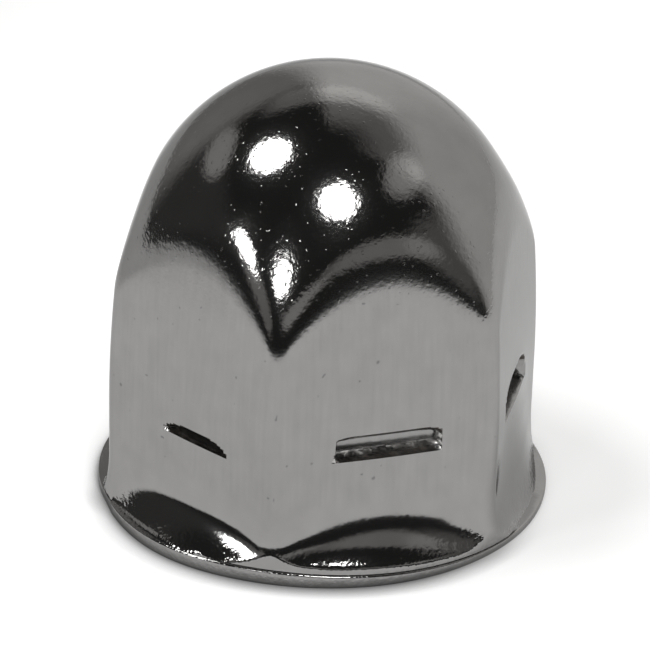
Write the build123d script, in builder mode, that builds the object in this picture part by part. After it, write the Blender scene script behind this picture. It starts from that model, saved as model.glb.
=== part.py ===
from build123d import *
import math
import os

# Push-on lug nut cover: one cap drawn from steel sheet, hexagonal around the nut, domed over the
# stud and flared at the bottom into a round skirt. A tab is lanced inward in every flat to grip.
# Millimetres. The origin is the centre of the rim's underside, +Z runs up the axis, and one
# flat faces -Y.

# The sheet, and the nut that the cap is pressed over
sheet = 0.9
nut_across_flats = 33.0
nut_clearance = 0.1            # over both flats

# Hexagon
flat_count = 6
straight_height = 9.6          # the flats stand upright to here, then lean in towards the dome
lean_radius = 140.0
corner_radius = 2.0            # outside

# Dome: a round crown, then a flatter side arc that meets the hexagon's corners
overall_height = 39.3
crown_radius = 17.2
crown_angle = 56.0             # half angle of the crown, from the axis
shoulder_height = 19.3         # where the side arc meets the corners
arch_radius = 2.0              # rounding where the flats meet the dome, outside

# Skirt
skirt_radius = 11.4            # hollow curve of the skirt, seen from outside
skirt_angle = 47.0             # how far its face has turned up from upright at the rim
skirt_lip = 0.46               # how far the rim stands out past the hexagon's corners
root_radius = 1.2              # rounding where the hexagon grows out of the skirt, outside
rim_height = 1.0
rim_radius = 0.2

# Lanced tabs: a cut straight across the flat, and above it a tab that is pushed in
cut_height = 11.1
cut_length = 10.4
slit = 0.4
tab_width = 9.2
tab_rise = 3.0
tab_depth = 1.25               # from the flat's face to the tab's face at its free edge
tab_corner = 1.0
# The tabs are not alike. Shares of the sizes above, from the front flat round towards +X:
# cut height, tab size, and sideways shift of the tab
lances = [(1.0, 1.0, 0.04), (0.96, 0.85, -0.1), (1.01, 0.95, 0.02),
          (0.99, 0.9, -0.03), (1.02, 0.95, 0.0), (0.92, 0.5, 0.1)]

flat_distance = (nut_across_flats + nut_clearance) / 2 + sheet
half_flat_angle = math.radians(180 / flat_count)
corner_reach = (flat_distance - corner_radius) / math.cos(half_flat_angle) + corner_radius
rim_distance = corner_reach + skirt_lip
spare = 3.0                    # stock below and around the rim, trimmed away at the end


def pressed_form(inset):
    """The solid inside the cap's outer skin, or, inset by the sheet, inside its inner skin."""
    reach = flat_distance - inset
    top = overall_height - inset
    lean = lean_radius - inset

    with BuildPart() as form:
        # The hexagon, one pair of flats at a time
        for pair in range(flat_count // 2):
            with BuildSketch(Plane.YZ.rotated((0, 0, pair * 360 / flat_count))):
                with BuildLine():
                    foot = Line((0, -spare), (reach, -spare))
                    upright = Line(foot @ 1, (reach, straight_height))
                    rise = math.degrees(math.asin((top - straight_height) / lean))
                    leaning = JernArc(upright @ 1, upright % 1, lean, rise)
                    Line(leaning @ 1, (0, top))
                    mirror(about=Plane.YZ)
                make_face()
            extrude(amount=2 * rim_distance, both=True,
                    mode=Mode.INTERSECT if pair else Mode.ADD)
        corners = form.edges().filter_by(lambda edge: edge.bounding_box().size.Z > sheet)
        fillet(corners, corner_radius - inset)

        # The dome trims it, which leaves an arch at the top of every flat
        crown_end = math.radians(90 - crown_angle)
        inward = Vector(-math.cos(crown_end), -math.sin(crown_end))
        fall = (Vector(corner_reach, shoulder_height)
                - Vector(0, overall_height - crown_radius) + inward * crown_radius)
        side_radius = fall.length ** 2 / (2 * fall.dot(inward))
        side_turn = 2 * math.degrees(math.asin(fall.length / (2 * side_radius)))
        with BuildSketch(Plane.YZ):
            with BuildLine():
                crown = CenterArc((0, overall_height - crown_radius), crown_radius - inset,
                                  90, -crown_angle)
                side = JernArc(crown @ 1, crown % 1, side_radius - inset, -side_turn)
                skirting = Line(side @ 1, side @ 1 + (side % 1) * 2 * overall_height)
                Polyline(skirting @ 1, (0, (skirting @ 1).Y), crown @ 0)
            make_face()
        revolve(axis=Axis.Z, mode=Mode.INTERSECT)
        arches = form.edges().filter_by(GeomType.BSPLINE).filter_by(
            lambda edge: edge.bounding_box().min.Z > straight_height + sheet)
        fillet(arches, arch_radius - inset)

        # The skirt is round, so it stands highest at the middle of each flat
        edge_turn = math.radians(skirt_angle)
        hollow_centre = (rim_distance + skirt_radius * math.cos(edge_turn),
                         rim_height + skirt_radius * math.sin(edge_turn))
        hollow_radius = skirt_radius + inset
        outermost = math.acos((hollow_centre[0] - rim_distance - spare) / hollow_radius)
        with BuildSketch(Plane.XZ):
            with BuildLine():
                hollow = CenterArc(hollow_centre, hollow_radius, 180, math.degrees(outermost))
                Polyline(hollow @ 1, (rim_distance + spare, -2 * spare), (0, -2 * spare),
                         (0, hollow_centre[1]), hollow @ 0)
            make_face()
        revolve(axis=Axis.Z)
        root = form.edges().filter_by(GeomType.BSPLINE).filter_by(
            lambda edge: edge.bounding_box().max.Z < straight_height)
        fillet(root, root_radius + inset)
    return form


def tab_wedge(size, back):
    """What is outside a tab's sloping face, or outside its back when back is the sheet."""
    rise = tab_rise * size
    depth = tab_depth * size
    width = tab_width * math.sqrt(size)
    slant = math.hypot(rise, depth)
    free_edge = -flat_distance + depth + back * slant / rise
    near = -flat_distance + sheet / 2 if back else -flat_distance - sheet
    peak = (free_edge - near) * rise / depth
    with BuildPart() as wedge:
        with BuildSketch(Plane.YZ):
            with BuildLine():
                Polyline((near, 0), (free_edge, 0), (near, peak), close=True)
            make_face()
        extrude(amount=tab_width, both=True)
        with BuildSketch(Plane.XZ):
            RectangleRounded(width + 2 * back, 2 * (rise + back * slant / depth),
                             min(tab_corner, rise / 2) + back)
        extrude(amount=2 * flat_distance, both=True, mode=Mode.INTERSECT)
    return wedge.part


outer = pressed_form(0)
inner = pressed_form(sheet)

with BuildPart() as cover:
    Cylinder(rim_distance, overall_height, align=(Align.CENTER, Align.CENTER, Align.MIN))
    add(outer.part, mode=Mode.INTERSECT)
    add(inner.part, mode=Mode.SUBTRACT)
    for index, (height, size, shift) in enumerate(lances):
        with PolarLocations(0, 1, start_angle=index * 360 / flat_count):
            with Locations((shift * cut_length, 0, height * cut_height)):
                add(tab_wedge(size, sheet))
                add(tab_wedge(size, 0), mode=Mode.SUBTRACT)
                with Locations((0, -flat_distance)):
                    Box(cut_length * math.sqrt(size), 2 * sheet, slit, mode=Mode.SUBTRACT,
                        align=(Align.CENTER, Align.CENTER, Align.MIN))
    rim = cover.faces().filter_by(GeomType.CYLINDER).filter_by(
        lambda face: abs(face.radius - rim_distance) < sheet / 10)
    fillet(rim.edges().filter_by(lambda edge: edge.bounding_box().min.Z > sheet / 2), rim_radius)

cover.part.label = "cover"
os.makedirs("parts", exist_ok=True)
export_step(cover.part, "parts/cover.step")
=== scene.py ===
import math
from collections import namedtuple

import bmesh
import bpy
from bpy.props import FloatProperty, FloatVectorProperty, IntProperty, PointerProperty
from mathutils import Matrix, Vector, noise


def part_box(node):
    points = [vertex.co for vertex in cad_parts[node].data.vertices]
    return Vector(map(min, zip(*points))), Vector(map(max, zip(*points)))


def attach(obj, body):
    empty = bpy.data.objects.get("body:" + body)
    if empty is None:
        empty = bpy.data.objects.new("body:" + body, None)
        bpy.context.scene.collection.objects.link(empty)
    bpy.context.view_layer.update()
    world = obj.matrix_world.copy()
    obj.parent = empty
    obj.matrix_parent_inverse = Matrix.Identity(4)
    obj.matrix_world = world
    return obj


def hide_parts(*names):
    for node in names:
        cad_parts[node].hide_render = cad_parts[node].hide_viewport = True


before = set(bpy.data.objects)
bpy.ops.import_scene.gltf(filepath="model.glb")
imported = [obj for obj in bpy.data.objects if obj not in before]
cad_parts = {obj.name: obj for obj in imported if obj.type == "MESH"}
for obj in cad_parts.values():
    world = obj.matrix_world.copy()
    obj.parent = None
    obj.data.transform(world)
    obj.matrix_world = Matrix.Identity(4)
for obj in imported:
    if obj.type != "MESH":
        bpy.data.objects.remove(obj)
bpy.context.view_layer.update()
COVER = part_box("cover")

bl_info = {
    "name": "Lug Nut Cover",
    "version": (1, 0, 0),
    "blender": (4, 5, 0),
    "location": "3D View > Sidebar > Cover",
    "description": "Pressed and chromed push-on cover for a wheel nut",
    "category": "Object",
}

MM = 0.001
HAIR = 1e-7                 # metres, and shorter lengths count as nothing
FLATS = 6
FLAT_ANGLE = 2 * math.pi / FLATS

# Heights up the cover
SKIRT_TOP = 7.5 * MM
CUT_HEIGHT = 11.1 * MM      # before each cut is lifted or lowered
TAB_TOP = CUT_HEIGHT + 3.6 * MM
ARCH_FOOT = 19.5 * MM
WALL_TOP = 30.5 * MM        # above it the dome closes in quickly

# How far the tabs and cuts reach at most, up from a cut and to either side of its middle
TAB_REACH = 4 * MM
CUT_REACH = 5.5 * MM

# A cut and the tab above it. In millimetres: the cut's lift, sideways shift and length, the
# tab's rise and depth, and how far the cut gapes at its left and right ends. Last is how square
# the tab is, with 2 for half an ellipse and more for a box
Lance = namedtuple("Lance", "lift shift length rise depth gape_left gape_right square")
# From the front flat round towards +X
LANCES = (Lance(-0.1, 0.3, 10.9, 2.4, 1.25, 0.1, 0.5, 7),
          Lance(-0.45, -1.2, 10.4, 3.3, 1.35, 0.15, 0.5, 3),
          Lance(0.1, 0.2, 10.4, 2.8, 1.2, 0.3, 0.3, 6),
          Lance(-0.1, -0.3, 10.2, 2.7, 1.15, 0.3, 0.2, 6),
          Lance(0.2, 0.0, 10.4, 2.8, 1.2, 0.2, 0.4, 6),
          Lance(-1.0, 1.0, 8.4, 1.2, 1.0, 0.3, 0.1, 2.2))

# Round lamps, alike in brightness and in their distance in metres. In degrees: azimuth from the
# camera's side, elevation and half the angle that the lamp fills
LAMPS = {"lamp_left": (-93.5, 60.5, 10), "lamp_front": (8, 56.5, 10.2),
         "lamp_low_left": (-58, 22.6, 7), "lamp_low_front": (-27.4, 28.2, 4.4)}
LAMP_DISTANCE = 2.0
LAMP_RADIANCE = 12

# Soft oval patches of the room: light, azimuth from the camera's side, elevation, half width
# and half height in degrees, how softly the edge fades, and whether the grey wall hides it
Patch = namedtuple("Patch", "light azimuth elevation wide high fade hidden",
                   defaults=(0.6, False))
PATCHES = (Patch(0.32, -158, 14, 30, 26, hidden=True), Patch(0.25, -178, 47, 34, 8),
           Patch(0.42, -117, 33, 16, 8), Patch(0.04, -112, 18, 42, 20),
           Patch(0.5, 82, 52, 22, 9, fade=0.9), Patch(0.14, 66, 19, 20, 13, hidden=True),
           Patch(0.3, 37, 21, 28, 8), Patch(0.42, -5, 16, 17, 4.5),
           Patch(0.25, -50, 11, 12, 7))


class CoverSizes(bpy.types.PropertyGroup):
    """Sizes of the pressed sheet."""

    sheet: FloatProperty(name="Sheet", description="Thickness of the sheet",
                         default=0.9 * MM, unit="LENGTH")
    flat_distance: FloatProperty(name="Flat Distance", description="From the axis to a flat",
                                 default=17.45 * MM, unit="LENGTH")
    corner_radius: FloatProperty(name="Corner Radius", description="Outside corners",
                                 default=2.0 * MM, unit="LENGTH")
    straight_height: FloatProperty(name="Straight Height",
                                   description="Height at which the flats start to lean in",
                                   default=9.6 * MM, unit="LENGTH")
    lean_radius: FloatProperty(name="Lean Radius", description="Curve of the leaning flats",
                               default=140 * MM, unit="LENGTH")
    height: FloatProperty(name="Height", description="Overall height",
                          default=COVER[1][2], unit="LENGTH")
    crown_radius: FloatProperty(name="Crown Radius", description="Round top of the dome",
                                default=17.3 * MM, unit="LENGTH")
    crown_angle: FloatProperty(name="Crown Angle", description="Half angle of the crown",
                               default=math.radians(56), subtype="ANGLE")
    shoulder_height: FloatProperty(name="Shoulder Height",
                                   description="Where the dome's side arc meets the corners",
                                   default=20.1 * MM, unit="LENGTH")
    arch_blend: FloatProperty(name="Arch Blend",
                              description="Softness of the arches between flats and dome",
                              default=1.3 * MM, unit="LENGTH")
    flange_radius: FloatProperty(name="Flange Radius", description="Round flange",
                                 default=COVER[1][1], unit="LENGTH")
    skirt_radius: FloatProperty(name="Skirt Radius", description="Hollow curve of the skirt",
                                default=15.0 * MM, unit="LENGTH")
    skirt_angle: FloatProperty(name="Skirt Angle",
                               description="How far the skirt's face has turned up at the rim",
                               default=math.radians(46), subtype="ANGLE")
    root_blend: FloatProperty(name="Root Blend",
                              description="Softness where the hexagon grows out of the skirt",
                              default=2.8 * MM, unit="LENGTH")
    rim_height: FloatProperty(name="Rim Height", description="Height of the sheared rim",
                              default=1.2 * MM, unit="LENGTH")
    rim_thick: FloatProperty(name="Rim Thick", description="Height of the rim at its thickest",
                             default=1.3 * MM, unit="LENGTH")
    rim_thin: FloatProperty(name="Rim Thin", description="Height of the rim at its thinnest",
                            default=0.35 * MM, unit="LENGTH")
    rim_bulge: FloatProperty(name="Rim Bulge", description="How far the rim is out of round",
                             default=0.5 * MM, unit="LENGTH")
    rim_radius: FloatProperty(name="Rim Radius", description="Rounded upper edge of the rim",
                              default=0.2 * MM, unit="LENGTH")
    rim_land: FloatProperty(name="Rim Land", description="Flat ring under the rim",
                            default=0.23 * MM, unit="LENGTH")
    tab_end: FloatProperty(name="Tab End", description="From a tab's end to the cut's end",
                           default=0.6 * MM, unit="LENGTH")
    ear: FloatProperty(name="Ear", description="Gap at either end of the cut",
                       default=0.25 * MM, unit="LENGTH")
    burr: FloatProperty(name="Burr", description="Raggedness of the torn edge",
                        default=0.16 * MM, unit="LENGTH")
    columns: IntProperty(name="Columns", description="Faces around the cap", default=396)


class CoverFinish(bpy.types.PropertyGroup):
    """Colours and gloss of the plating."""

    plate: FloatVectorProperty(name="Plate", description="Colour of the plating",
                               default=(0.264, 0.261, 0.257), subtype="COLOR", size=3)
    edge: FloatVectorProperty(name="Edge", description="Tint of the plating seen edge-on",
                              default=(0.66, 0.66, 0.66), subtype="COLOR", size=3)
    # Painted glints: the pale colour that spots of the torn lips take, standing in for glints
    burr: FloatVectorProperty(name="Burr", description="Bright torn steel beside the cuts",
                              default=(0.75, 0.74, 0.72), subtype="COLOR", size=3)
    # Partly the sheared steel's own colour, partly painted shade: the cut faces and the faces
    # around the cuts that look downwards take it
    cut: FloatVectorProperty(name="Cut", description="Colour of the sheared steel",
                             default=(0.09, 0.08, 0.072), subtype="COLOR", size=3)
    roughness: FloatProperty(name="Roughness", description="Roughness of the dome's plating",
                             default=0.09, min=0, max=1, subtype="FACTOR")
    peel: FloatProperty(name="Peel", description="Depth of the orange peel",
                        default=0.018 * MM, unit="LENGTH")


class StageSetup(bpy.types.PropertyGroup):
    """Camera and light."""

    azimuth: FloatProperty(name="Azimuth", description="Camera direction about the axis",
                           default=math.radians(-17.7), subtype="ANGLE")
    elevation: FloatProperty(name="Elevation", description="Camera height angle",
                             default=math.radians(27.0), subtype="ANGLE")
    roll: FloatProperty(name="Roll", description="Camera roll",
                        default=math.radians(1.58), subtype="ANGLE")
    distance: FloatProperty(name="Distance", description="From the aim point to the camera",
                            default=0.3116, unit="LENGTH")
    aim: FloatVectorProperty(name="Aim", description="Sideways and upwards from the aim height",
                             default=(-0.18 * MM, -2.0 * MM), size=2, unit="LENGTH")
    aim_height: FloatProperty(name="Aim Height", description="Height of the aim point",
                              default=17.26 * MM, unit="LENGTH")
    lens: FloatProperty(name="Lens", description="Focal length in millimetres", default=194.6,
                        unit="CAMERA")


def smooth_step(low, high, x):
    """0 at low, 1 at high, and smooth between."""
    t = min(max((x - low) / (high - low), 0), 1)
    return t * t * (3 - 2 * t)


def soft_min(a, b, blend):
    """The smaller value, rounded off where the two are closer than the blend."""
    h = max(blend - abs(a - b), 0) / blend
    return min(a, b) - h * h * blend / 4


def bell(angle, centre, width):
    """1 in one direction, falling off to both sides of it."""
    off = (angle - centre + math.pi) % (2 * math.pi) - math.pi
    return math.exp(-(off / width) ** 2)


class Profile:
    """One skin of the pressed sheet, as a radius over direction and height.

    The outer skin has no inset, and the inner one is inset by the sheet."""

    def __init__(self, s, inset):
        self.sizes = s
        self.flat = s.flat_distance - inset
        self.corner = s.corner_radius - inset
        self.top = s.height - inset

        # The crown's arc, and the flatter side arc that runs on from it to the corners
        self.crown_z = s.height - s.crown_radius
        self.crown = s.crown_radius - inset
        inward = Vector((math.sin(s.crown_angle), math.cos(s.crown_angle)))
        corner_reach = ((s.flat_distance - s.corner_radius) / math.cos(FLAT_ANGLE / 2)
                        + s.corner_radius)
        fall = inward * s.crown_radius - Vector((corner_reach, s.shoulder_height - self.crown_z))
        side_radius = fall.length_squared / 2 / fall.dot(inward)
        self.side = side_radius - inset
        self.side_r = (s.crown_radius - side_radius) * inward.x
        self.side_z = self.crown_z + (s.crown_radius - side_radius) * inward.y
        self.join_z = self.crown_z + self.crown * inward.y

        # The skirt's hollow arc
        self.hollow = s.skirt_radius + inset
        self.hollow_r = s.flange_radius + s.skirt_radius * math.cos(s.skirt_angle)
        self.hollow_z = s.rim_height + s.skirt_radius * math.sin(s.skirt_angle)

    def dome(self, z):
        if z >= self.join_z:
            return math.sqrt(max(self.crown ** 2 - (z - self.crown_z) ** 2, 0))
        return self.side_r + math.sqrt(max(self.side ** 2 - (z - self.side_z) ** 2, 0))

    def hexagon(self, angle, z):
        lean = max(z - self.sizes.straight_height, 0)
        flat = self.flat - lean ** 2 / 2 / self.sizes.lean_radius
        half = FLAT_ANGLE / 2
        off = abs(flat_of(angle)[1])
        if flat * math.tan(off) <= (flat - self.corner) * math.tan(half):
            return flat / math.cos(off)
        centre = (flat - self.corner) / math.cos(half)
        turn = half - off
        inside = max(self.corner ** 2 - (centre * math.sin(turn)) ** 2, 0)
        return centre * math.cos(turn) + math.sqrt(inside)

    def body(self, angle, z):
        """The flats under the dome. Low down, at the corners, the arches are sharper."""
        sharpest, sharp_below, soft_above = 0.3, 20 * MM, 28 * MM
        blend = sharpest + (1 - sharpest) * smooth_step(sharp_below, soft_above, z)
        return soft_min(self.dome(z), self.hexagon(angle, z), self.sizes.arch_blend * blend)

    def drawn(self, angle, z):
        """1 on the flats, 0 on the dome and the skirt."""
        flat = smooth_step(-0.2 * MM, 0.6 * MM, self.dome(z) - self.hexagon(angle, z))
        return flat * smooth_step(5.5 * MM, 8 * MM, z)

    def skirt(self, z):
        drop = self.hollow_z - z
        if drop <= 0:
            return self.hollow_r - self.hollow - drop ** 2 / self.hollow
        return self.hollow_r - math.sqrt(self.hollow ** 2 - drop ** 2)

    def radius(self, angle, z):
        """Radius of the skin. The skirt was pressed unevenly: it stands higher in front, and
        lower at the sides and behind."""
        higher = 0.8 * MM * bell(angle, math.radians(5), 0.9)
        lower = 1.6 * MM * (1 - bell(angle, -0.26, 1.3))
        skirt = self.skirt(z - (higher - lower))
        r = -soft_min(-self.body(angle, z), -skirt, self.sizes.root_blend)
        return min(r, self.sizes.flange_radius)


def flat_of(angle):
    """Which flat a direction is on, and its offset from that flat's middle."""
    index = round(angle / FLAT_ANGLE)
    return index % FLATS, angle - index * FLAT_ANGLE


def spaced(start, end, step):
    """Evenly spaced places after the start, up to the end."""
    count = max(1, round(abs(end - start) / step))
    return [start + (end - start) * i / count for i in range(1, count + 1)]


def outline(s):
    """The outlines of both skins: the outer one down from the top, the inner one back up.

    Each row is a height, with a radius where the row stays round."""
    skins = []
    for inset, fine in ((0, True), (s.sheet, False)):
        profile = Profile(s, inset)
        crown_end = math.acos((WALL_TOP - profile.crown_z) / profile.crown)
        crown_rows = 40 if fine else 20
        rows = [(profile.top, 0.0)]
        for i in range(1, crown_rows + 1):
            turn = crown_end * i / crown_rows
            rows.append((profile.crown_z + profile.crown * math.cos(turn), None))

        # Below the crown, each stretch down to a height has rows of its own spacing
        z = WALL_TOP
        for end, step in ((ARCH_FOOT, 0.3 if fine else 0.7), (TAB_TOP, 0.8), (CUT_HEIGHT, 0.15),
                          (CUT_HEIGHT - 1 * MM, 0.25), (SKIRT_TOP, 0.6),
                          (s.rim_height if fine else 0, 0.2 if fine else 0.5)):
            rows += [(height, None) for height in spaced(z, end, step * MM)]
            z = end
        skins.append(rows)
    outer, inner = skins

    # The rim: a rounded upper edge, a sheared face with a worn lower edge, and a flat ring
    edge = s.flange_radius
    outer = [row for row in outer if row[0] > s.rim_height + s.rim_radius]
    turns = 5
    for i in range(turns + 1):
        turn = math.pi / 2 * i / turns
        outer.append((s.rim_height - s.rim_radius * (1 - math.cos(turn)),
                      edge - s.rim_radius * (1 - math.sin(turn))))
    outer += [(0.6 * MM, edge), (0.2 * MM, edge), (0.05 * MM, edge - 0.01 * MM),
              (0, edge - 0.06 * MM)]
    inner = [row for row in inner if row[0] > HAIR] + [(0, edge - s.rim_land)]
    return outer, inner[::-1]


def spin_outline(s, outer, inner):
    """A cap of two upright round skins, in which every vertex keeps the number of its row."""
    bm = bmesh.new()
    row = bm.verts.layers.int.new("row")
    previous = None
    for number, (z, r) in enumerate(outer + inner):
        start = s.flange_radius if number < len(outer) else s.flange_radius / 2
        vert = bm.verts.new((0, 0 if r == 0 else -start, z))
        vert[row] = number
        if previous:
            bm.edges.new((previous, vert))
        previous = vert
    bmesh.ops.spin(bm, geom=bm.verts[:] + bm.edges[:], axis=(0, 0, 1), cent=(0, 0, 0),
                   angle=2 * math.pi, steps=s.columns, use_merge=True)
    bmesh.ops.remove_doubles(bm, verts=bm.verts[:], dist=HAIR)
    return bm


def uneven_rim(s, angle, r, z):
    """The rim as it was trimmed: thick at the front, thin behind, and a little out of round."""
    thick = bell(angle, math.radians(-40), math.radians(62))
    height = s.rim_thin + (s.rim_thick - s.rim_thin) * thick
    felt_below = 4.5 * MM
    near = 1 - smooth_step(s.rim_height, felt_below, z)
    r += s.rim_bulge * bell(angle, math.radians(-60), math.radians(22)) * near
    # The bulge leaves the overall width and depth as they are
    r = min(r, s.flange_radius / max(abs(math.sin(angle)), abs(math.cos(angle))))
    if z < s.rim_height:
        return r, z * height / s.rim_height
    return r, z + (height - s.rim_height) * near


def shape_skins(bm, s, outer, inner):
    """Press the round cap into shape, with every flat's cut at its own height.

    The vertices get their place on their flat, measured from the middle of its cut."""
    row = bm.verts.layers.int["row"]
    place = bm.verts.layers.float_vector.new("place")
    drawn = bm.verts.layers.float.new("drawn")
    rows = outer + inner
    skins = (Profile(s, 0), Profile(s, s.sheet))
    crowding = 0.5
    for vert in bm.verts:
        x, y, z = vert.co
        round_r = rows[vert[row]][1]
        if round_r == 0:
            continue
        # The columns stand closer together at the corners
        angle = math.atan2(x, -y)
        angle += crowding * math.sin(FLATS * angle) / FLATS
        index, off = flat_of(angle)
        across = s.flat_distance * math.tan(off)
        lift, shift = LANCES[index].lift * MM, LANCES[index].shift * MM
        # The rows around a cut are lifted with it
        weight = (smooth_step(SKIRT_TOP, CUT_HEIGHT - 1 * MM, z)
                  * (1 - smooth_step(CUT_HEIGHT + 3.4 * MM, CUT_HEIGHT + 8 * MM, z))
                  * (1 - smooth_step(6.5 * MM, 9 * MM, abs(across))))
        z += lift * weight
        skin = skins[vert[row] >= len(outer)]
        r = skin.radius(angle, z) if round_r is None else round_r
        vert[place] = (across - shift, z - CUT_HEIGHT - lift, index)
        vert[drawn] = skin.drawn(angle, z)
        r, z = uneven_rim(s, angle, r, z)
        vert.co = (r * math.sin(angle), -r * math.cos(angle), z)
    bmesh.ops.recalc_face_normals(bm, faces=bm.faces[:])


def shear_flats(bm, outer, inner):
    """Cut every flat through both skins, and join the skins again along each side of a cut.

    Gives the vertices of the upper lips and of the lower lips."""
    row = bm.verts.layers.int["row"]
    place = bm.verts.layers.float_vector["place"]
    cut_rows = {number for number, (z, r) in enumerate(outer + inner)
                if abs(z - CUT_HEIGHT) < HAIR}
    cuts = []
    for edge in bm.edges:
        a, b = edge.verts
        if a[row] == b[row] and a[row] in cut_rows:
            half = LANCES[round(a[place].z)].length * MM / 2
            if max(abs(a[place].x), abs(b[place].x)) < half:
                cuts.append(edge)
    bmesh.ops.split_edges(bm, edges=cuts)

    lips = {}
    for edge in [edge for edge in bm.edges if edge.is_boundary]:
        upper = edge.link_faces[0].calc_center_median().z > edge.verts[0].co.z
        lips.setdefault((round(edge.verts[0][place].z), upper), []).append(edge)
    upper_lips, lower_lips = ({vert for (index, upper), edges in lips.items() if upper == side
                               for edge in edges for vert in edge.verts}
                              for side in (True, False))
    sheared = bm.faces.layers.float.new("sheared")
    # The faces across the cuts take the sheared steel's colour, dark partly as painted shade in
    # the gaps
    for edges in lips.values():
        for face in bmesh.ops.bridge_loops(bm, edges=edges)["faces"]:
            face[sheared] = 0.6
    return upper_lips, lower_lips


def tab_depth(s, lance, across, above):
    """How far a tab is pushed in, at a place on its flat measured from the cut's middle."""
    along = abs(across) / (lance.length * MM / 2 - s.tab_end)
    if along >= 1:
        return 0
    rise = lance.rise * MM * (1 - along ** lance.square) ** (1 / lance.square)
    fall = 1 - above / rise
    if fall <= 0:
        return 0
    # A steep bend near the top takes most of the depth, and a slope takes the rest
    bend, bend_share = 0.28, 0.72
    down = bend_share * smooth_step(0, bend, fall) + (1 - bend_share) * fall
    side_bend = 0.12
    return lance.depth * MM * smooth_step(0, side_bend, 1 - along) * down


def push_tabs(bm, s, upper_lips, lower_lips):
    """Push the tabs in, and tear the lips of their cuts."""
    place = bm.verts.layers.float_vector["place"]
    torn = bm.verts.layers.float.new("torn")
    tear = 0.45 * MM            # grain of the torn metal
    ear_place, ear_width = 0.3 * MM, 0.25 * MM
    for vert in bm.verts:
        across, above, index = vert[place]
        lance = LANCES[round(index)]
        half = lance.length * MM / 2
        if abs(across) > half or not -HAIR < above < TAB_REACH:
            continue
        ragged = noise.noise(Vector((across / tear, index * 7, vert.co.length / MM)))
        end = half - abs(across)
        if vert in lower_lips:
            # An ear opens just inside either end of the cut
            vert.co.z -= s.ear * math.exp(-((end - ear_place) / ear_width) ** 2)
            vert.co.z += s.burr * 0.4 * ragged * smooth_step(0, 0.5 * MM, end)
        elif vert in upper_lips or above > HAIR:
            depth = tab_depth(s, lance, across, max(above, 0))
            # Round, shallow tabs are torn less than square ones
            vert[torn] = (1 - smooth_step(0, 0.6 * MM, above)) * smooth_step(0, 0.2, depth / MM)
            vert[torn] *= min(lance.square / 6, 1) ** 2
            depth += s.burr * ragged * vert[torn]
            turn = index * FLAT_ANGLE
            vert.co -= Vector((math.sin(turn), -math.cos(turn), 0)) * depth
            rightwards = (across / half + 1) / 2
            gape = lance.gape_left + (lance.gape_right - lance.gape_left) * rightwards
            vert.co.z += (gape * MM + s.burr * ragged) * vert[torn] * smooth_step(0, MM, end)
    bmesh.ops.recalc_face_normals(bm, faces=bm.faces[:])


def mark_shaded_undersides(bm):
    """Mark the faces around a cut that look downwards, for painted shade in the sheared steel's
    dark colour.
    """
    place = bm.verts.layers.float_vector["place"]
    sheared = bm.faces.layers.float["sheared"]
    overhang = -0.33            # upward part of the face's normal
    bm.normal_update()
    for face in bm.faces:
        near = all(abs(vert[place].y) < TAB_REACH and abs(vert[place].x) < CUT_REACH
                   for vert in face.verts)
        if near and face.normal.z < overhang:
            face[sheared] = 1


def pressed_cover(s):
    """The whole cover, from its outline to its torn lips."""
    outer, inner = outline(s)
    bm = spin_outline(s, outer, inner)
    shape_skins(bm, s, outer, inner)
    push_tabs(bm, s, *shear_flats(bm, outer, inner))
    mark_shaded_undersides(bm)
    return bm


def new_piece(name, bm, material):
    """An object of a finished shape in one material."""
    mesh = bpy.data.meshes.new(name)
    bm.to_mesh(mesh)
    bm.free()
    mesh.materials.append(material)
    piece = bpy.data.objects.new(name, mesh)
    bpy.context.scene.collection.objects.link(piece)
    return piece


class Wire:
    """A shader socket that can be used in sums."""

    def __init__(self, tree, socket):
        self.tree = tree
        self.socket = socket

    def __add__(self, other):
        return self.tree.maths("ADD", self, other)

    def __radd__(self, other):
        return self.tree.maths("ADD", other, self)

    def __sub__(self, other):
        return self.tree.maths("SUBTRACT", self, other)

    def __rsub__(self, other):
        return self.tree.maths("SUBTRACT", other, self)

    def __mul__(self, other):
        return self.tree.maths("MULTIPLY", self, other)

    def __rmul__(self, other):
        return self.tree.maths("MULTIPLY", other, self)

    def __truediv__(self, other):
        return self.tree.maths("DIVIDE", self, other)

    def __pow__(self, other):
        return self.tree.maths("POWER", self, other)

    def step(self, low, high):
        """0 at low, 1 at high, and smooth between."""
        settings = {"interpolation_type": "SMOOTHSTEP"}
        return self.tree.node("ShaderNodeMapRange", settings, self, low, high, 0.0, 1.0)

    def beside(self, name):
        """Another output of the node that this one comes from."""
        return Wire(self.tree, self.socket.node.outputs[name])


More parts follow.
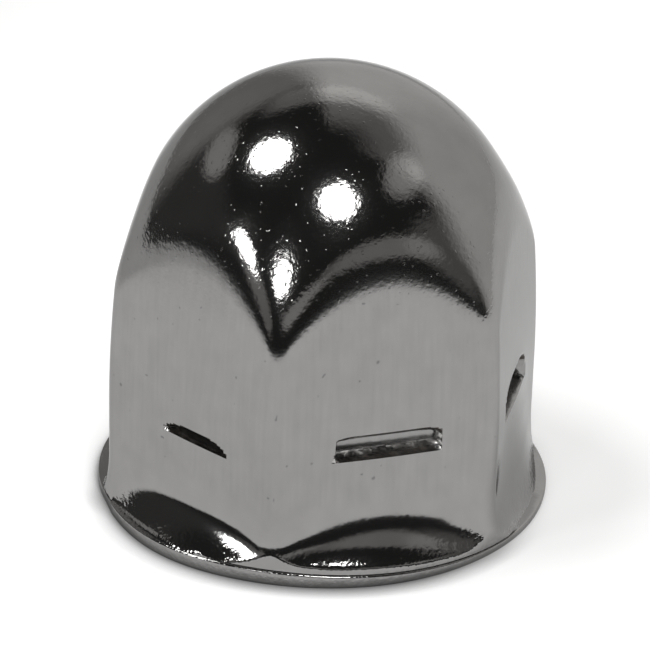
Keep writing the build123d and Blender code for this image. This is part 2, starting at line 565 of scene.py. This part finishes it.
class Tree:
    """A material's or world's nodes."""

    def __init__(self, owner):
        owner.use_nodes = True
        self.nodes = owner.node_tree.nodes
        self.links = owner.node_tree.links
        self.nodes.clear()

    def node(self, kind, settings=None, *values, output=0, **named):
        """A new node's output. Its inputs are given in order, or by name with _ for a space."""
        node = self.nodes.new(kind)
        for key, value in (settings or {}).items():
            setattr(node, key, value)
        pairs = list(zip(node.inputs, values)) + [
            (node.inputs[key.replace("_", " ")], value) for key, value in named.items()]
        for socket, value in pairs:
            if isinstance(value, Wire):
                self.links.new(value.socket, socket)
            elif value is not None:
                socket.default_value = value
        return Wire(self, node.outputs[output] if node.outputs else None)

    def maths(self, operation, *values):
        return self.node("ShaderNodeMath", {"operation": operation}, *values)

    def vector_maths(self, operation, *values, output=0, **named):
        return self.node("ShaderNodeVectorMath", {"operation": operation}, *values,
                         output=output, **named)

    def attribute(self, name):
        """A value that the mesh holds over its surface."""
        return self.node("ShaderNodeAttribute", {"attribute_name": name}, output="Fac")

    def xyz(self, vector):
        """A vector's three parts."""
        x = self.node("ShaderNodeSeparateXYZ", None, vector)
        return x, x.beside("Y"), x.beside("Z")

    def blend(self, factor, first, second):
        """A colour between two colours, which are the node's seventh and eighth inputs."""
        colours = (None,) * 5 + (first, second)
        return self.node("ShaderNodeMix", {"data_type": "RGBA"}, factor, *colours, output=2)


def chrome_plate(finish):
    """Worn chrome on drawn steel, torn and bare around the cuts, with painted glints and painted
    shade there.
    """
    material = bpy.data.materials.new("chrome_plate")
    tree = Tree(material)
    x, y, z = tree.xyz(tree.node("ShaderNodeTexCoord", output="Object"))
    drawn = tree.attribute("drawn")
    torn = tree.attribute("torn")
    sheared = tree.attribute("sheared")
    bared = tree.maths("MINIMUM", torn + sheared, 1.0)
    up_the_flats = 0.06

    def grain(scale, detail, squash=1.0):
        """Noise over the surface, drawn out along the axis where squash is small."""
        at = tree.node("ShaderNodeCombineXYZ", None, x, y, z * squash)
        return tree.node("ShaderNodeTexNoise", None, Vector=at, Scale=scale, Detail=detail)

    # Orange peel, strongest at the foot of the skirt and felt again on the dome, scattered
    # dimples on the dome, fine drawing marks up the flats, and rough bare steel
    skirt = 1 - z.step(1.4 * MM, 3.6 * MM)
    peel = grain(2100.0, 2.0) * (0.3 + skirt * 2.4 + z.step(18 * MM, 24 * MM) * 0.45)
    dimples = grain(2900.0, 0.0).step(0.72, 0.82) * z.step(20 * MM, 26 * MM) * 0.3
    marks = grain(2600.0, 2.0, up_the_flats) * drawn * 0.25
    bare = bared * grain(1500.0, 3.0) * 13
    bump = tree.node("ShaderNodeBump", None, Strength=1.0, Distance=finish.peel,
                     Height=peel + dimples + marks + bare)

    # The plating's tone is mottled and streaked up the flats, with a few dark pits there
    cloudy = (grain(450.0, 4.0) - 0.5) * 0.2
    streaks = (grain(2400.0, 1.0, up_the_flats) - 0.5) * drawn * 0.13
    pits = grain(1900.0, 0.0).step(0.83, 0.85) * drawn * 0.35
    plate = tree.vector_maths("SCALE", finish.plate, Scale=(1 + cloudy + streaks) * (1 - pits))

    # Painted glints on the torn lips, and sheared steel darkened partly as painted shade
    painted_glints = grain(1300.0, 2.0).step(0.52, 0.6)
    plate = tree.blend(torn * painted_glints, plate, (*finish.burr, 1))
    colour = tree.blend(sheared * (1 - painted_glints * 0.3), plate, (*finish.cut, 1))
    roughness = finish.roughness + drawn * 0.07 + bared * 0.25
    shader = tree.node("ShaderNodeBsdfPrincipled", None, Base_Color=colour, Metallic=1.0,
                       Roughness=roughness, Specular_Tint=(*finish.edge, 1), Normal=bump)
    tree.node("ShaderNodeOutputMaterial", None, shader)
    return material


class COVER_OT_press(bpy.types.Operator):
    """Press the cover from its sheet and plate it"""

    bl_idname = "cover.press"
    bl_label = "Press Cover"

    def execute(self, context):
        scene = context.scene
        piece = new_piece("cover_skin", pressed_cover(scene.cover_sizes),
                          chrome_plate(scene.cover_finish))
        piece.data.shade_smooth()
        piece.data.set_sharp_from_angle(angle=math.radians(40))
        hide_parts("cover")
        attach(piece, "root")
        return {"FINISHED"}


def direction(setup, azimuth, elevation):
    """A direction from the cover, with its azimuth in degrees from the camera's side."""
    a = setup.azimuth + math.radians(azimuth)
    e = math.radians(elevation)
    return Vector((math.sin(a) * math.cos(e), -math.cos(a) * math.cos(e), math.sin(e)))


def pale_floor(setup):
    """Pale floor, lit in a wide pool, with the shade where the rim meets it."""
    material = bpy.data.materials.new("pale_floor")
    tree = Tree(material)
    place = tree.node("ShaderNodeTexCoord", output="Object")

    def towards(azimuth):
        """How far out a place on the floor is, in a direction from the camera's side."""
        return tree.vector_maths("DOT_PRODUCT", place, direction(setup, azimuth, 0),
                                 output="Value")

    # Shade under the rim, deeper in front and to the left
    open_floor = tree.node("ShaderNodeAmbientOcclusion", {"samples": 12}, Distance=2.2 * MM,
                           output="AO") ** 2.5
    shade = (1 - open_floor) * (0.2 + towards(-30).step(-8 * MM, 14 * MM) * 0.8)
    # The pool of light ends in front of the cover, and fades on the left
    lit = (1 - shade) * (1 - towards(-25).step(0.1, 0.32) * 0.95)
    lit = lit * (1 - towards(-115).step(0.05, 0.13) * 0.35)
    paint = tree.node("ShaderNodeBsdfDiffuse", None, lit * 0.8)

    # A glow outside the rim, stronger far away, lifts the floor where it's seen or mirrored
    out = tree.vector_maths("LENGTH", place, output="Value")
    glow = lit * out.step(19 * MM, 20.3 * MM) * (0.36 + out.step(0.3, 2.0) * 0.25)
    glow = tree.node("ShaderNodeEmission", None, (1, 1, 1, 1), glow)
    looked_at = tree.node("ShaderNodeLightPath", output="Is Camera Ray")
    seen = (looked_at + looked_at.beside("Is Glossy Ray")
            + looked_at.beside("Is Transmission Ray"))
    seen = tree.maths("MINIMUM", seen, 1.0)
    both = tree.node("ShaderNodeAddShader", None, paint, glow)
    mix = tree.node("ShaderNodeMixShader", None, seen, paint, both)
    tree.node("ShaderNodeOutputMaterial", None, mix)
    return material


def room_light(setup):
    """A dark room, grey behind and to the right of the cover, with a few soft patches."""
    world = bpy.data.worlds.new("room")
    tree = Tree(world)
    x, y, z = tree.xyz(tree.node("ShaderNodeTexCoord", output="Generated"))
    a = setup.azimuth
    ahead = x * math.sin(a) - y * math.cos(a)
    right = x * math.cos(a) + y * math.sin(a)
    azimuth = tree.maths("ARCTAN2", right, ahead) * math.degrees(1)
    elevation = tree.maths("ARCSINE", z) * math.degrees(1)

    def turned(angle, low):
        """The same direction as an angle from low up to a full turn more."""
        return tree.maths("WRAP", angle, low + 360.0, low)

    # The grey wall is brightest straight behind, dimmer high up, and gone overhead
    around = turned(azimuth, 0.0)
    grey = around.step(76, 96) * (1 - around.step(180, 193)) * (1 - elevation.step(42, 60) * 0.72)
    light = 0.03 + grey * (0.74 + around.step(140, 165) * 0.26) * (1 - elevation.step(62, 82))

    for patch in PATCHES:
        across = turned(azimuth - patch.azimuth, -180.0) / patch.wide
        above = (elevation - patch.elevation) / patch.high
        edge = (across * across + above * above).step(1 - patch.fade, 1 + patch.fade)
        glow = patch.light * (1 - edge)
        light = light + (glow * (1 - grey) if patch.hidden else glow)
    warm = tree.node("ShaderNodeCombineXYZ", None, light * 1.02, light, light * 0.98)
    room = tree.node("ShaderNodeBackground", None, warm, 1.0)
    tree.node("ShaderNodeOutputWorld", None, room)
    return world


def set_camera(scene, setup):
    """The camera, a little rolled, that looks past the middle of the cover."""
    back = direction(setup, 0, math.degrees(setup.elevation))
    right = (-back).cross(Vector((0, 0, 1))).normalized()
    up = right.cross(-back)
    side = right * math.cos(setup.roll) + up * math.sin(setup.roll)
    rise = up * math.cos(setup.roll) - right * math.sin(setup.roll)
    aim = Vector((0, 0, setup.aim_height)) + side * setup.aim[0] + rise * setup.aim[1]
    data = bpy.data.cameras.new("camera")
    data.lens = setup.lens
    data.sensor_width = 36
    data.clip_start = 0.01
    camera = bpy.data.objects.new("camera", data)
    camera.matrix_world = (Matrix.Translation(aim + back * setup.distance)
                           @ Matrix((side, rise, back)).transposed().to_4x4())
    scene.collection.objects.link(camera)
    scene.camera = camera


def hang_lamp(scene, setup, name, azimuth, elevation, spread):
    """A round lamp that faces the cover."""
    way = direction(setup, azimuth, elevation)
    radius = LAMP_DISTANCE * math.tan(math.radians(spread))
    light = bpy.data.lights.new(name, "AREA")
    light.shape = "DISK"
    light.size = 2 * radius
    light.energy = LAMP_RADIANCE * math.pi * math.pi * radius ** 2
    lamp = bpy.data.objects.new(name, light)
    lamp.matrix_world = (Matrix.Translation(way * LAMP_DISTANCE)
                         @ way.to_track_quat("Z", "Y").to_matrix().to_4x4())
    scene.collection.objects.link(lamp)


class COVER_OT_stage(bpy.types.Operator):
    """Set up the floor, the light and the camera"""

    bl_idname = "cover.stage"
    bl_label = "Set Stage"

    def execute(self, context):
        scene = context.scene
        setup = scene.cover_stage
        bm = bmesh.new()
        bmesh.ops.create_grid(bm, x_segments=1, y_segments=1, size=3)
        new_piece("floor", bm, pale_floor(setup))
        set_camera(scene, setup)
        for name, place in LAMPS.items():
            hang_lamp(scene, setup, name, *place)
        scene.world = room_light(setup)
        scene.view_settings.view_transform = "Standard"
        return {"FINISHED"}


class COVER_PT_panel(bpy.types.Panel):
    """The steps that make the cover, in order."""

    bl_label = "Lug Nut Cover"
    bl_space_type = "VIEW_3D"
    bl_region_type = "UI"
    bl_category = "Cover"

    def draw(self, context):
        for step in (COVER_OT_press, COVER_OT_stage):
            self.layout.operator(step.bl_idname)


CLASSES = (CoverSizes, CoverFinish, StageSetup, COVER_OT_press, COVER_OT_stage, COVER_PT_panel)


def register():
    for cls in CLASSES:
        bpy.utils.register_class(cls)
    bpy.types.Scene.cover_sizes = PointerProperty(type=CoverSizes)
    bpy.types.Scene.cover_finish = PointerProperty(type=CoverFinish)
    bpy.types.Scene.cover_stage = PointerProperty(type=StageSetup)


def unregister():
    del bpy.types.Scene.cover_stage
    del bpy.types.Scene.cover_finish
    del bpy.types.Scene.cover_sizes
    for cls in reversed(CLASSES):
        bpy.utils.unregister_class(cls)


def main():
    register()
    bpy.ops.cover.press()
    bpy.ops.cover.stage()


if __name__ == "__main__":
    main()
